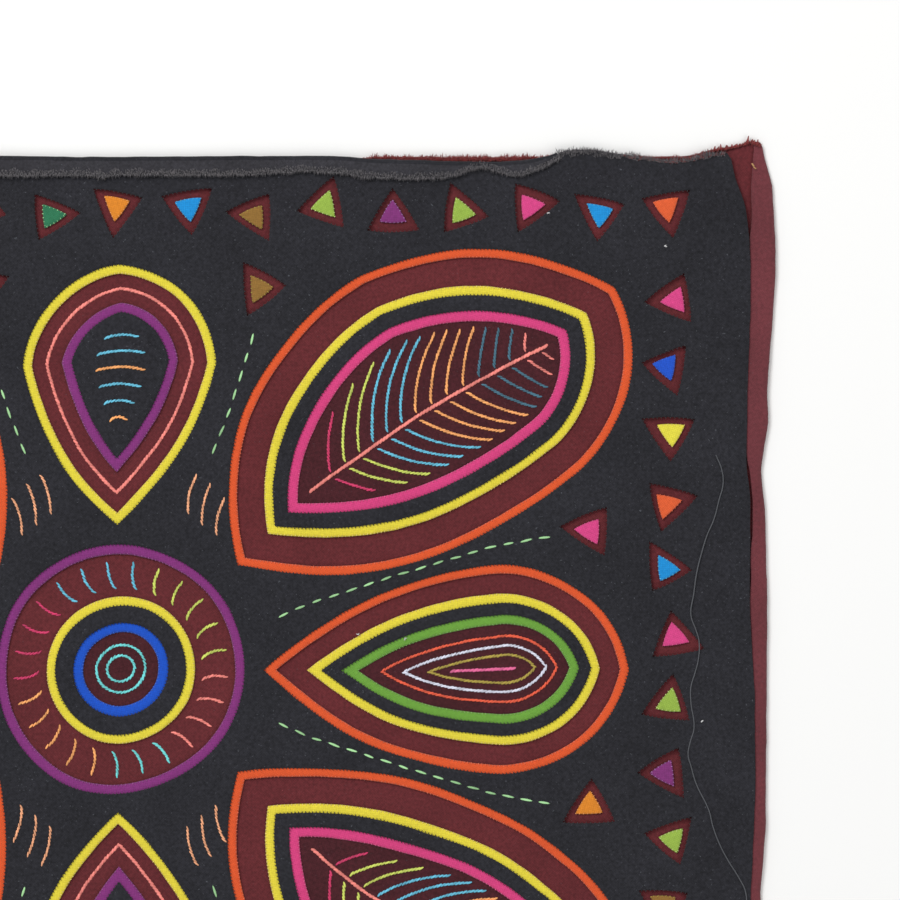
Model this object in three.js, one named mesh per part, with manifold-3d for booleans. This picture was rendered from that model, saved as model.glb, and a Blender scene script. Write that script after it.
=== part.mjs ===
// A mola panel: a black top cloth with windows cut and turned under over coloured inlays and a maroon base cloth.
// Millimetres, X to the right and Y up across the face, +Z out of the face. The origin is the middle of the
// underside, so the panel lies on z = 0.
import * as THREE from "three";
import { mergeVertices } from "three/addons/utils/BufferGeometryUtils.js";
import Module from "manifold-3d";

const wasm = await Module();
wasm.setup();

// Driving dimensions.
const HALF_WIDTH = 210;
const HALF_HEIGHT = 170;
const CLOTH = 1.0; // thickness of each sheet
const GAP = 0.3; // air between two sheets
const LINE = 3.2; // usual width of a coloured line
const TUCK = 1.6; // how far an inlay runs on under the black cloth
const HEM_RISE = 1.0; // extra thickness of the folded right edge of the base cloth
const ARC_STEP = THREE.MathUtils.degToRad(9);
const FILLER_STEP = THREE.MathUtils.degToRad(6);

const LAYER = CLOTH + GAP;
const COLOUR_Z = LAYER;
const TOP_Z = 2 * LAYER;
const FLAP_Z = 3 * LAYER;

const COLOURS = {
  maroon: 0x6b3438,
  black: 0x2f3136,
  orange: 0xd4603a,
  yellow: 0xd9cb58,
  pink: 0xce4a7e,
  green: 0x6f9f44,
  purple: 0x74367a,
  blue: 0x1f58b8,
  thread: 0x3c3b40,
};

// Top edge of the black cloth from left to right: the fold, or the raw edge where there is no flap.
const TOP_EDGE = [
  { x: -201.5, y: 164.4 },
  { x: -120, y: 163.9 },
  { x: -60, y: 164.5 },
  { x: -9, y: 163.9 },
  { x: 42, y: 164.2 },
  { x: 71, y: 164.2 },
  { x: 82, y: 163.3 },
  { x: 103, y: 162.6 },
  { x: 122, y: 162.3 },
  { x: 131.5, y: 163 },
  { x: 137.5, y: 164.2 },
  { x: 143, y: 166.5 },
  { x: 151, y: 166.8 },
  { x: 161, y: 165.2 },
  { x: 174, y: 163.3 },
  { x: 181, y: 163.3 },
  { x: 188, y: 165 },
];
const FLAP_END_X = 138;
const FOLD_RADIUS = 1.25;
const FOLD_BITE = 0.6; // how far the two layers run into the fold
const FOLD_SHORT = 0.8; // how much shorter the fold is at each end

// Lower edge of the flap that is turned over to the front.
const FLAP_EDGE = [
  { x: -201.5, y: 159 },
  { x: -150, y: 158.2 },
  { x: -80, y: 159 },
  { x: -9, y: 158.5 },
  { x: 58, y: 158.8 },
  { x: 72, y: 159.4 },
  { x: 103, y: 159.8 },
  { x: 117, y: 160.4 },
  { x: 127, y: 158.5 },
  { x: 131.5, y: 158.8 },
  { x: 136.5, y: 160.7 },
];

// Right edge of the black cloth, from top to bottom.
const BLACK_RIGHT = [
  { x: 195.3, y: 166.2 },
  { x: 197.2, y: 157.2 },
  { x: 200.7, y: 147.9 },
  { x: 202, y: 132 },
  { x: 202, y: 115.6 },
  { x: 201, y: 90 },
  { x: 200.7, y: 65.4 },
  { x: 202, y: 54.8 },
  { x: 201.7, y: 19.3 },
  { x: 203.3, y: -7 },
  { x: 203.6, y: -38.6 },
  { x: 202, y: -73.2 },
  { x: 202.4, y: -120 },
  { x: 201.6, y: -166.4 },
];

// Folded right edge of the base cloth, from its frayed corner down.
const BASE_RIGHT = [
  { x: 203.6, y: 170 },
  { x: 205.8, y: 168.7 },
  { x: 206.2, y: 165.2 },
  { x: 209, y: 155.3 },
  { x: 210, y: 136 },
  { x: 210, y: 127 },
  { x: 209, y: 110.5 },
  { x: 207.3, y: 90 },
  { x: 207.8, y: 79.4 },
  { x: 205.2, y: 64.1 },
  { x: 206.6, y: 52 },
  { x: 207.4, y: 22.5 },
  { x: 207.1, y: -20 },
  { x: 206.8, y: -51.8 },
  { x: 205.2, y: -71.3 },
  { x: 206.4, y: -112 },
  { x: 205.8, y: -169.4 },
];

// Top edge of the base cloth: it stays under the black fold, and stands out where it is frayed.
const BASE_TOP = [
  { x: -209.4, y: 162.6 },
  { x: -100, y: 163 },
  { x: 74, y: 163 },
  { x: 80, y: 164.4 },
  { x: 134, y: 164.2 },
  { x: 142, y: 163.6 },
  { x: 162, y: 164.6 },
  { x: 182, y: 164.6 },
  { x: 191, y: 166.8 },
  { x: 199.6, y: 168 },
];

// Plain left and bottom edges, each a little uneven.
const LEFT_EDGE_ROWS = [-150, -90, -30, 30, 90, 140];
const BOTTOM_EDGE_COLUMNS = [-180, -120, -60, 0, 60, 120, 180];
const BLACK_LEFT_X = -202;
const BLACK_BOTTOM_Y = -166;

// The width of the folded hem along the right edge of the base cloth.
const HEM_WIDTH = 4.6;

// Each motif is a closed outline of corners, anticlockwise, with the bulge of the side that follows each corner.
const CORNER_PETAL = [
  { x: 38, y: 33, bulge: 12 },
  { x: 144, y: 60, bulge: 12 },
  { x: 158, y: 122, bulge: 10 },
  { x: 77, y: 127, bulge: 17 },
];
const SIDE_PETAL = [
  { x: 46, y: 0, bulge: 7 },
  { x: 118, y: -33, bulge: 11 },
  { x: 163, y: 0, bulge: 11 },
  { x: 118, y: 33, bulge: 7 },
];
const CROWN_PETAL = [
  { x: 0, y: 46, bulge: 5 },
  { x: 31, y: 98, bulge: 8 },
  { x: 0, y: 130, bulge: 8 },
  { x: -31, y: 98, bulge: 5 },
];
const ROSETTE_RADIUS = 40;

// The pieces of each motif, measured inwards from the edge of its window.
const CORNER_PIECES = [
  { name: "orange", from: -TUCK, to: 3, level: COLOUR_Z },
  { name: "yellow", from: 11.3, to: 14.6 + TUCK, level: COLOUR_Z },
  { name: "black", from: 14.6, to: 19.4, level: TOP_Z },
  { name: "pink", from: 19.4 - TUCK, to: 23.2, level: COLOUR_Z },
];
const SIDE_PIECES = [
  { name: "orange", from: -TUCK, to: 3, level: COLOUR_Z },
  { name: "yellow", from: 8.6, to: 11.9 + 1.2, level: COLOUR_Z },
  { name: "black", from: 11.9, to: 15.6, level: TOP_Z },
  { name: "green", from: 15.6 - 1.2, to: 19, level: COLOUR_Z },
];
const CROWN_PIECES = [
  { name: "yellow", from: -TUCK, to: LINE, level: COLOUR_Z },
  { name: "purple", from: 12, to: 15.4 + TUCK, level: COLOUR_Z },
  { name: "black", from: 15.4, to: null, level: TOP_Z },
];
const ROSETTE_PIECES = [
  { name: "purple", from: -TUCK, to: 3.5, level: COLOUR_Z },
  { name: "yellow", from: 16, to: 19.3 + TUCK, level: COLOUR_Z },
  { name: "black", from: 19.3, to: 25, level: TOP_Z },
  { name: "blue", from: 25 - TUCK, to: 28.5, level: COLOUR_Z },
];

// The small triangular windows: a row along the top and bottom, a column at each side, and a few between petals.
const FILLER_SIZE = 9.3; // from the middle to a corner
const FILLER_ROW = { count: 17, pitch: 22, y: 147.2, sway: 1.6 };
const FILLER_COLUMN = { count: 12, pitch: 21.6, x: 176.2, sway: 1.4 };
const FILLER_BETWEEN = [
  { x: 151.5, y: 44.5 },
  { x: 44.5, y: 122.5 },
];
const FILLER_TURN = 2.4; // radians from one triangle to the next

// Route of the loose sewing thread across the black margin, from its stitch down.
const THREAD_DIAMETER = 0.4;
const THREAD_STEPS = 72;
const THREAD_ROUTE = [
  [191.1, 68.9], [193.0, 64.1], [193.4, 59.6], [192.1, 54.5], [190.5, 48.4], [188.2, 43.0], [186.6, 37.8],
  [185.0, 31.4], [184.0, 24.4], [183.1, 17.7], [184.7, 12.9], [185.7, 9.4], [185.4, 3.0], [184.4, -0.9],
  [183.1, -5.4], [183.1, -10.2], [184.1, -18.5], [182.8, -23.3], [182.2, -27.1], [183.1, -30.6],
  [184.7, -36.1], [188.9, -45.0], [190.2, -50.2], [192.7, -56.6], [195.3, -61.4], [198.5, -66.5],
  [200.6, -71.0], [200.6, -76.0], [198.4, -81.0], [195.4, -85.5], [192.5, -88.5],
];

const point = (x, y) => new THREE.Vector2(x, y);

// Cloth that was cut by hand: every line of the design drifts a little.
function drift(p) {
  return point(
    p.x + 0.55 * Math.sin(p.y / 17 + 1.3) + 0.3 * Math.sin(p.x / 9 + p.y / 13),
    p.y + 0.55 * Math.sin(p.x / 19 + 0.4) + 0.3 * Math.cos(p.x / 11 - p.y / 8),
  );
}

// The circle of the side from one corner to the next, whose middle stands out by the bulge.
function sideCircle(from, to, bulge) {
  const half = from.distanceTo(to) / 2;
  const radius = (half * half + bulge * bulge) / (2 * bulge);
  const inward = point(from.y - to.y, to.x - from.x).normalize();
  const centre = from.clone().add(to).multiplyScalar(0.5);
  return { centre: centre.addScaledVector(inward, radius - bulge), radius };
}

// The crossing of two circles that lies nearest to a given point.
function crossing(a, b, near) {
  const line = b.centre.clone().sub(a.centre);
  const apart = line.length();
  const along = (a.radius ** 2 - b.radius ** 2 + apart ** 2) / (2 * apart);
  const aside = Math.sqrt(Math.max(0, a.radius ** 2 - along ** 2));
  line.normalize();
  const foot = a.centre.clone().addScaledVector(line, along);
  const across = point(-line.y, line.x).multiplyScalar(aside);
  const both = [foot.clone().add(across), foot.clone().sub(across)];
  return both.sort((p, q) => p.distanceTo(near) - q.distanceTo(near))[0];
}

// The points of an outline that lies a given distance inside its corners and bulges.
function petalOutline(corners, inset, step = ARC_STEP) {
  const at = (i) => corners[(i + corners.length) % corners.length];
  const place = (i) => point(at(i).x, at(i).y);
  const circles = corners.map((corner, i) => {
    const circle = sideCircle(place(i), place(i + 1), corner.bulge);
    return { centre: circle.centre, radius: circle.radius - inset };
  });
  const joints = circles.map((circle, i) => crossing(circles.at(i - 1), circle, place(i)));
  return circles.flatMap(({ centre, radius }, i) => {
    const end = joints[(i + 1) % joints.length];
    const first = joints[i].clone().sub(centre).angle();
    const sweep = THREE.MathUtils.euclideanModulo(end.clone().sub(centre).angle() - first, 2 * Math.PI);
    const count = Math.max(1, Math.round(sweep / step));
    return Array.from({ length: count }, (_, k) => {
      const angle = first + (sweep * k) / count;
      return drift(point(centre.x + radius * Math.cos(angle), centre.y + radius * Math.sin(angle)));
    });
  });
}

function rosetteOutline(inset) {
  const radius = ROSETTE_RADIUS - inset;
  const count = Math.round((2 * Math.PI) / ARC_STEP);
  return Array.from({ length: count }, (_, k) => {
    const angle = (2 * Math.PI * k) / count;
    return drift(point(radius * Math.cos(angle), radius * Math.sin(angle)));
  });
}

// A motif mirrored in one or both axes, with its corners still anticlockwise.
function mirrored(corners, across, up) {
  const placed = corners.map((c) => ({ x: c.x * across, y: c.y * up, bulge: c.bulge }));
  if (across * up > 0) return placed;
  const turned = [placed[0], ...placed.slice(1).reverse()];
  const bulges = placed.map((c) => c.bulge).reverse();
  return turned.map((c, i) => ({ ...c, bulge: bulges[i] }));
}

// Every motif: its name, its outline as a function of the inset, and its pieces.
const MOTIFS = [];
for (const [up, vertical] of [[1, "upper"], [-1, "lower"]])
  for (const [across, horizontal] of [[1, "right"], [-1, "left"]])
    MOTIFS.push({
      name: `${vertical}_${horizontal}_petal`,
      outline: (inset) => petalOutline(mirrored(CORNER_PETAL, across, up), inset),
      pieces: CORNER_PIECES,
    });
for (const [across, horizontal] of [[1, "right"], [-1, "left"]])
  MOTIFS.push({
    name: `${horizontal}_petal`,
    outline: (inset) => petalOutline(mirrored(SIDE_PETAL, across, 1), inset),
    pieces: SIDE_PIECES,
  });
for (const [up, vertical] of [[1, "upper"], [-1, "lower"]])
  MOTIFS.push({
    name: `${vertical}_petal`,
    outline: (inset) => petalOutline(mirrored(CROWN_PETAL, 1, up), inset),
    pieces: CROWN_PIECES,
  });
MOTIFS.push({ name: "rosette", outline: rosetteOutline, pieces: ROSETTE_PIECES });

// Middles of the small triangular windows.
function fillerPlaces() {
  const places = [];
  for (const up of [1, -1])
    for (let k = 0; k < FILLER_ROW.count; k++)
      places.push(
        point(
          (k - (FILLER_ROW.count - 1) / 2) * FILLER_ROW.pitch,
          up * (FILLER_ROW.y + FILLER_ROW.sway * Math.sin(FILLER_TURN * k)),
        ),
      );
  for (const across of [1, -1])
    for (let k = 0; k < FILLER_COLUMN.count; k++)
      places.push(
        point(
          across * (FILLER_COLUMN.x + FILLER_COLUMN.sway * Math.sin(FILLER_TURN * k)),
          (k - (FILLER_COLUMN.count - 1) / 2) * FILLER_COLUMN.pitch,
        ),
      );
  for (const { x, y } of FILLER_BETWEEN)
    for (const up of [1, -1]) for (const across of [1, -1]) places.push(point(across * x, up * y));
  return places;
}

// One small triangle: each is turned on from the last, and no two are quite alike.
function fillerOutline(middle, index) {
  const corners = [0, 1, 2].map((j) => {
    const reach = FILLER_SIZE * (1 + 0.1 * Math.sin(5.3 * index + 2.1 * j));
    const angle = FILLER_TURN * index + (j * 2 * Math.PI) / 3;
    return {
      x: middle.x + reach * Math.cos(angle),
      y: middle.y + reach * Math.sin(angle),
      bulge: 0.45,
    };
  });
  return petalOutline(corners, 0, FILLER_STEP);
}

// A flat piece of cloth: an outline, perhaps with windows, from one height up.
function sheetGeometry(outline, windows, low, thickness) {
  const shape = new THREE.Shape(outline);
  shape.holes = windows.map((window) => new THREE.Path(window));
  const geometry = new THREE.ExtrudeGeometry(shape, { depth: thickness, bevelEnabled: false });
  return geometry.translate(0, 0, low);
}

function solid(geometry) {
  geometry.deleteAttribute("normal");
  geometry.deleteAttribute("uv");
  const merged = mergeVertices(geometry, 1e-4);
  return new wasm.Manifold(
    new wasm.Mesh({
      numProp: 3,
      vertProperties: merged.attributes.position.array,
      triVerts: new Uint32Array(merged.index.array),
    }),
  );
}

function geometryOf(manifold) {
  const { vertProperties, triVerts } = manifold.getMesh();
  return new THREE.BufferGeometry()
    .setAttribute("position", new THREE.BufferAttribute(vertProperties, 3))
    .setIndex(new THREE.BufferAttribute(triVerts, 1));
}

function cloth(name, colour, geometry) {
  const material = new THREE.MeshStandardMaterial({ color: COLOURS[colour], roughness: 0.92, metalness: 0 });
  const mesh = new THREE.Mesh(geometry, material);
  mesh.name = name;
  return mesh;
}

const unevenness = (t) => 0.6 * Math.sin(t / 23) + 0.4 * Math.sin(t / 9 + 1);
const points = (table) => table.map(({ x, y }) => point(x, y));

// The base cloth, with the folded hem that thickens its right edge.
function makeBase() {
  const left = LEFT_EDGE_ROWS.map((y) => point(-HALF_WIDTH + 0.5 + 0.5 * unevenness(y), y));
  const bottom = BOTTOM_EDGE_COLUMNS.map((x) => point(x, -HALF_HEIGHT + 0.5 + 0.5 * unevenness(x)));
  const outline = [
    ...points(BASE_TOP),
    ...points(BASE_RIGHT),
    ...bottom.reverse(),
    point(-HALF_WIDTH, -HALF_HEIGHT),
    ...left,
  ];
  const outer = points(BASE_RIGHT);
  const inner = outer.map((p) => point(p.x - HEM_WIDTH, p.y)).slice(1);
  const hem = sheetGeometry([...outer.slice(1), ...inner.reverse()], [], 0, CLOTH + HEM_RISE);
  const sheet = sheetGeometry(outline, [], 0, CLOTH);
  return cloth("base_cloth", "maroon", geometryOf(solid(sheet).add(solid(hem))));
}

// The rounded fold that joins the top cloth to its flap: a little thicker than the layers that run into it.
function foldGeometry() {
  const folded = TOP_EDGE.filter(({ x }) => x <= FLAP_END_X);
  const path = new THREE.CatmullRomCurve3(
    folded.map(({ x, y }, i) => {
      const end = i === 0 ? 1 : i === folded.length - 1 ? -1 : 0;
      return new THREE.Vector3(x + end * FOLD_SHORT, y - FOLD_RADIUS, TOP_Z + LAYER / 2 + CLOTH / 2);
    }),
  );
  const section = new THREE.Shape().absarc(0, 0, FOLD_RADIUS, 0, Math.PI, false);
  return new THREE.ExtrudeGeometry(section, {
    extrudePath: path,
    steps: 26,
    curveSegments: 6,
    bevelEnabled: false,
  });
}

// The black cloth with all its windows, and the flap of its turned-over top edge.
function makeTop() {
  const top = TOP_EDGE.map(({ x, y }) => point(x, x <= FLAP_END_X ? y - FOLD_RADIUS + FOLD_BITE : y));
  const left = LEFT_EDGE_ROWS.map((y) => point(BLACK_LEFT_X + unevenness(y), y));
  const bottom = BOTTOM_EDGE_COLUMNS.map((x) => point(x, BLACK_BOTTOM_Y + unevenness(x)));
  const corner = point(BLACK_LEFT_X, BLACK_BOTTOM_Y);
  const outline = [...top, ...points(BLACK_RIGHT), ...bottom.reverse(), corner, ...left];
  const windows = [
    ...MOTIFS.map((motif) => motif.outline(0)),
    ...fillerPlaces().map((middle, index) => fillerOutline(middle, index)),
  ];
  const flapTop = top.filter(({ x }) => x <= FLAP_END_X);
  const flap = sheetGeometry([...flapTop, ...points(FLAP_EDGE).reverse()], [], FLAP_Z, CLOTH);
  const whole = solid(sheetGeometry(outline, [], TOP_Z, CLOTH)).add(solid(foldGeometry())).add(solid(flap));
  const cut = windows.reduce(
    (sheet, window) => sheet.subtract(solid(sheetGeometry(window, [], TOP_Z - GAP / 2, CLOTH + GAP))),
    whole,
  );
  return cloth("top_cloth", "black", geometryOf(cut));
}

// One piece of a motif: a ring, or a whole patch where it has no inner edge.
function makePiece(motif, { name, from, to, level }) {
  const windows = to === null ? [] : [motif.outline(to)];
  return cloth(`${motif.name}_${name}`, name, sheetGeometry(motif.outline(from), windows, level, CLOTH));
}

function makeThread() {
  const radius = THREAD_DIAMETER / 2;
  const height = TOP_Z + CLOTH + GAP + radius;
  const path = new THREE.CatmullRomCurve3(THREAD_ROUTE.map(([x, y]) => new THREE.Vector3(x, y, height)));
  const section = new THREE.Shape().absarc(0, 0, radius, 0, 2 * Math.PI, false);
  const geometry = new THREE.ExtrudeGeometry(section, {
    extrudePath: path,
    steps: THREAD_STEPS,
    curveSegments: 4,
    bevelEnabled: false,
  });
  return cloth("loose_thread", "thread", geometry);
}

const panel = new THREE.Group();
panel.name = "mola_panel";
panel.add(makeBase(), makeTop());
for (const motif of MOTIFS) panel.add(...motif.pieces.map((piece) => makePiece(motif, piece)));
panel.add(makeThread());

export default panel;
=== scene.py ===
# %% [markdown]
# A mola panel: two cotton cloths sewn on each other, with windows cut in the upper one. Each window is
# turned under by hand and shows lines of coloured cloth on the maroon cloth below, and fine sewing and
# embroidery. The panel lies flat, face up. This script dresses the plain sheets of the frame as real cloth.

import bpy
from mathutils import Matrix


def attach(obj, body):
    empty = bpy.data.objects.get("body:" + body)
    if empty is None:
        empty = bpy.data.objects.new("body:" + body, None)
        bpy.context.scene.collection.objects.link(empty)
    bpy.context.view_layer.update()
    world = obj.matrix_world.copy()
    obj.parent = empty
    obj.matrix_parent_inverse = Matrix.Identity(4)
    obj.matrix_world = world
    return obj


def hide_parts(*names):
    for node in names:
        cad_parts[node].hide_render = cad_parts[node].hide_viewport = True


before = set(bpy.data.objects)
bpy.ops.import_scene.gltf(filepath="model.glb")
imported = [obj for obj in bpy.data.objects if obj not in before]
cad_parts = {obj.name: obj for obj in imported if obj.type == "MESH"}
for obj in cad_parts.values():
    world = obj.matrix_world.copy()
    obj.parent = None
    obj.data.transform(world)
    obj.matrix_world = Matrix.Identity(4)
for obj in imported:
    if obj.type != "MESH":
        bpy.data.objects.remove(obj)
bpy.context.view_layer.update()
print("frame nodes:", len(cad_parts))

# %% Tools and units
import math
import random

import bmesh
import bpy
import numpy as np
from mathutils import Matrix, Vector, geometry, noise

MM = 0.001
BOTH_WAYS = (1, -1)
NOISE_SEED = 5

noise.seed_set(NOISE_SEED)
scene = bpy.context.scene
scene.view_settings.view_transform = "Standard"


def new_material(name):
    """A material, and the inputs of its shader."""
    material = bpy.data.materials.new(name)
    material.use_nodes = True
    return material, material.node_tree.nodes["Principled BSDF"].inputs


print("noise seed:", NOISE_SEED)

# %% [markdown]
# The photograph looks straight down on the panel. Its frame is 288 mm wide, 0.32 mm to a picture point, so
# the camera hangs high above the middle of that frame, with a long lens that keeps the edges upright.

# %% Camera
HALF_WIDTH = 210
HALF_HEIGHT = 170
FACE_HEIGHT = 3
POINT_SIZE = 0.32
PICTURE_POINTS = 900
RIGHT_EDGE_POINT = 775
TOP_EDGE_POINT = 139
CAMERA_HEIGHT = 1.4
SENSOR = 36.0

picture_size = PICTURE_POINTS * POINT_SIZE
left_of_picture = HALF_WIDTH - RIGHT_EDGE_POINT * POINT_SIZE
top_of_picture = HALF_HEIGHT + TOP_EDGE_POINT * POINT_SIZE
camera_data = bpy.data.cameras.new("camera")
camera_data.sensor_width = SENSOR
camera_data.lens = SENSOR * CAMERA_HEIGHT / (picture_size * MM)
camera = bpy.data.objects.new("camera", camera_data)
camera.location = (
    (left_of_picture + picture_size / 2) * MM,
    (top_of_picture - picture_size / 2) * MM,
    CAMERA_HEIGHT + FACE_HEIGHT * MM,
)
scene.collection.objects.link(camera)
scene.camera = camera
print("lens:", round(camera_data.lens, 1), "mm")

# %% [markdown]
# The loose sewing thread comes next, because the frame tests it first. It is a limp cord, so a curve with a
# round section suits it: it leaves a stitch on the black margin and wanders down over the cloth and off its
# edge.

# %% Loose thread
THREAD_DIAMETER = 0.4 * MM
THREAD_HEIGHT = 2.7
THREAD_ROUTE = [
    (191.1, 68.9), (193.0, 64.1), (193.4, 59.6), (192.1, 54.5), (190.5, 48.4), (188.2, 43.0),
    (186.6, 37.8), (185.0, 31.4), (184.0, 24.4), (183.1, 17.7), (184.7, 12.9), (185.7, 9.4),
    (185.4, 3.0), (184.4, -0.9), (183.1, -5.4), (183.1, -10.2), (184.1, -18.5), (182.8, -23.3),
    (182.2, -27.1), (183.1, -30.6), (184.7, -36.1), (188.9, -45.0), (190.2, -50.2), (192.7, -56.6),
    (195.3, -61.4), (198.5, -66.5), (200.6, -71.0), (200.6, -76.0), (198.4, -81.0), (195.4, -85.5),
    (192.5, -88.5),
]

thread_curve = bpy.data.curves.new("loose_sewing_thread", "CURVE")
thread_curve.dimensions = "3D"
thread_curve.bevel_depth = THREAD_DIAMETER / 2
thread_curve.bevel_resolution = 3
thread_curve.use_fill_caps = True
spline = thread_curve.splines.new("BEZIER")
spline.bezier_points.add(len(THREAD_ROUTE) - 1)
spline.resolution_u = 6
for knot, (x, y) in zip(spline.bezier_points, THREAD_ROUTE):
    knot.co = (x * MM, y * MM, THREAD_HEIGHT * MM)
    knot.handle_left_type = "AUTO"
    knot.handle_right_type = "AUTO"
loose_thread = bpy.data.objects.new("loose_sewing_thread", thread_curve)
scene.collection.objects.link(loose_thread)

# %% [markdown]
# The light is that of a table top in a studio: a big soft lamp above the left side, a weaker one from the
# right, and an even grey-white surround. The floor is plain and pale.

# %% Lights and floor
LAMP_TARGET = Vector((0.05, 0.0, 0.0))
SURROUND_STRENGTH = 0.55
FLOOR_COLOUR = (0.93, 0.93, 0.92, 1.0)
FLOOR_ROUGHNESS = 0.9
FLOOR_REACH = 3.0


def soft_lamp(name, place, size, power):
    """A square soft lamp that looks at the middle of the panel."""
    data = bpy.data.lights.new(name, "AREA")
    data.size = size
    data.energy = power
    lamp = bpy.data.objects.new(name, data)
    lamp.location = place
    lamp.rotation_euler = (LAMP_TARGET - Vector(place)).to_track_quat("-Z", "Y").to_euler()
    scene.collection.objects.link(lamp)


soft_lamp("main_lamp", place=(-0.7, 1.0, 1.3), size=0.8, power=19)
soft_lamp("fill_lamp", place=(1.3, -0.9, 1.5), size=1.4, power=9)

world = bpy.data.worlds.new("surround")
world.use_nodes = True
surround = world.node_tree.nodes["Background"].inputs
surround["Color"].default_value = (1.0, 1.0, 1.0, 1.0)
surround["Strength"].default_value = SURROUND_STRENGTH
scene.world = world

floor_mesh = bmesh.new()
bmesh.ops.create_grid(floor_mesh, x_segments=1, y_segments=1, size=FLOOR_REACH)
floor_data = bpy.data.meshes.new("floor")
floor_mesh.to_mesh(floor_data)
floor_mesh.free()
floor = bpy.data.objects.new("floor", floor_data)
floor_paint, shader = new_material("floor_paint")
shader["Base Color"].default_value = FLOOR_COLOUR
shader["Roughness"].default_value = FLOOR_ROUGHNESS
floor_data.materials.append(floor_paint)
scene.collection.objects.link(floor)
print("lamps:", len(bpy.data.lights))

# %% [markdown]
# Every piece of this panel follows the same plan. A motif is a closed outline: a few corners, and the bulge
# of the curved side that follows each corner. A line of cloth inside it runs at an even distance from that
# outline. Each side is part of a circle, so the same side a little further in is a smaller circle with the
# same middle.

# %% Plan of the motifs in millimetres
CORNER_PETAL = [(38, 33, 12), (144, 60, 12), (158, 122, 10), (77, 127, 17)]
SIDE_PETAL = [(46, 0, 7), (118, -33, 11), (163, 0, 11), (118, 33, 7)]
CROWN_PETAL = [(0, 46, 5), (31, 98, 8), (0, 130, 8), (-31, 98, 5)]
ROSETTE_RADIUS = 40
ROSETTE_BULGE = ROSETTE_RADIUS * (1 - math.cos(math.pi / 4))
ROSETTE_WAYS = ((1, 0), (0, 1), (-1, 0), (0, -1))
ROSETTE = [(x * ROSETTE_RADIUS, y * ROSETTE_RADIUS, ROSETTE_BULGE) for x, y in ROSETTE_WAYS]
SIDEWAYS = ((1, "right"), (-1, "left"))
UPWARDS = ((1, "upper"), (-1, "lower"))


def mirrored(corners, across, up):
    """The outline mirrored in one or both axes, still anticlockwise."""
    placed = [(x * across, y * up, bulge) for x, y, bulge in corners]
    if across * up > 0:
        return placed
    turned = placed[:1] + placed[:0:-1]
    bulges = [corner[2] for corner in reversed(placed)]
    return [(x, y, bulge) for (x, y, old), bulge in zip(turned, bulges)]


MOTIFS = {}
MOTIF_KIND = {}
MOTIF_SIGNS = {}


def plan(name, kind, corners, across=1, up=1):
    """Adds a motif, mirrored to its place."""
    MOTIFS[name] = mirrored(corners, across, up)
    MOTIF_KIND[name] = kind
    MOTIF_SIGNS[name] = (across, up)


for up, vertical in UPWARDS:
    for across, horizontal in SIDEWAYS:
        plan(f"{vertical}_{horizontal}_petal", "corner", CORNER_PETAL, across, up)
for across, horizontal in SIDEWAYS:
    plan(f"{horizontal}_petal", "side", SIDE_PETAL, across)
for up, vertical in UPWARDS:
    plan(f"{vertical}_petal", "crown", CROWN_PETAL, up=up)
plan("rosette", "rosette", ROSETTE)
print("motifs:", len(MOTIFS))

# %% [markdown]
# An outline is drawn as a maker of patterns would with a compass: a point is set on each corner and swung
# about the middle of its circle as far as the next corner. Blender's spin does just that with a single
# point.

# %% Draw an outline
DRIFT = 0.55
FINE_DRIFT = 0.3
SPACING = 2.0
SAME_PLACE = 0.001
APART = 10


def side_circle(start, end, bulge):
    """Middle and radius of the circle of one side."""
    half = (end - start).length / 2
    radius = (half * half + bulge * bulge) / (2 * bulge)
    inward = Vector((start.y - end.y, end.x - start.x)).normalized()
    return (start + end) / 2 + inward * (radius - bulge), radius


def side_joint(before, after, corner):
    """Where two neighbouring sides meet, near their corner."""
    if (before[0] - after[0]).length < SAME_PLACE:
        return after[0] + (corner - after[0]).normalized() * after[1]
    meets = geometry.intersect_sphere_sphere_2d(before[0], before[1], after[0], after[1])
    return min(meets, key=lambda place: (place - corner).length)


def drift(x, y):
    """The slow drift of a design that was cut by hand."""
    return (
        x + DRIFT * math.sin(y / 17 + 1.3) + FINE_DRIFT * math.sin(x / 9 + y / 13),
        y + DRIFT * math.sin(x / 19 + 0.4) + FINE_DRIFT * math.cos(x / 11 - y / 8),
    )


def inset_sides(corners, inset):
    """The circles of all the sides at this distance inside an outline, and the joints between them."""
    places = [Vector((x, y)) for x, y, bulge in corners]
    sides = zip(places, places[1:] + places[:1], corners)
    circles = [side_circle(start, end, corner[2]) for start, end, corner in sides]
    circles = [(centre, radius - inset) for centre, radius in circles]
    joints = [side_joint(circles[i - 1], circles[i], places[i]) for i in range(len(places))]
    return circles, joints


PATTERNS = {}


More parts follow.
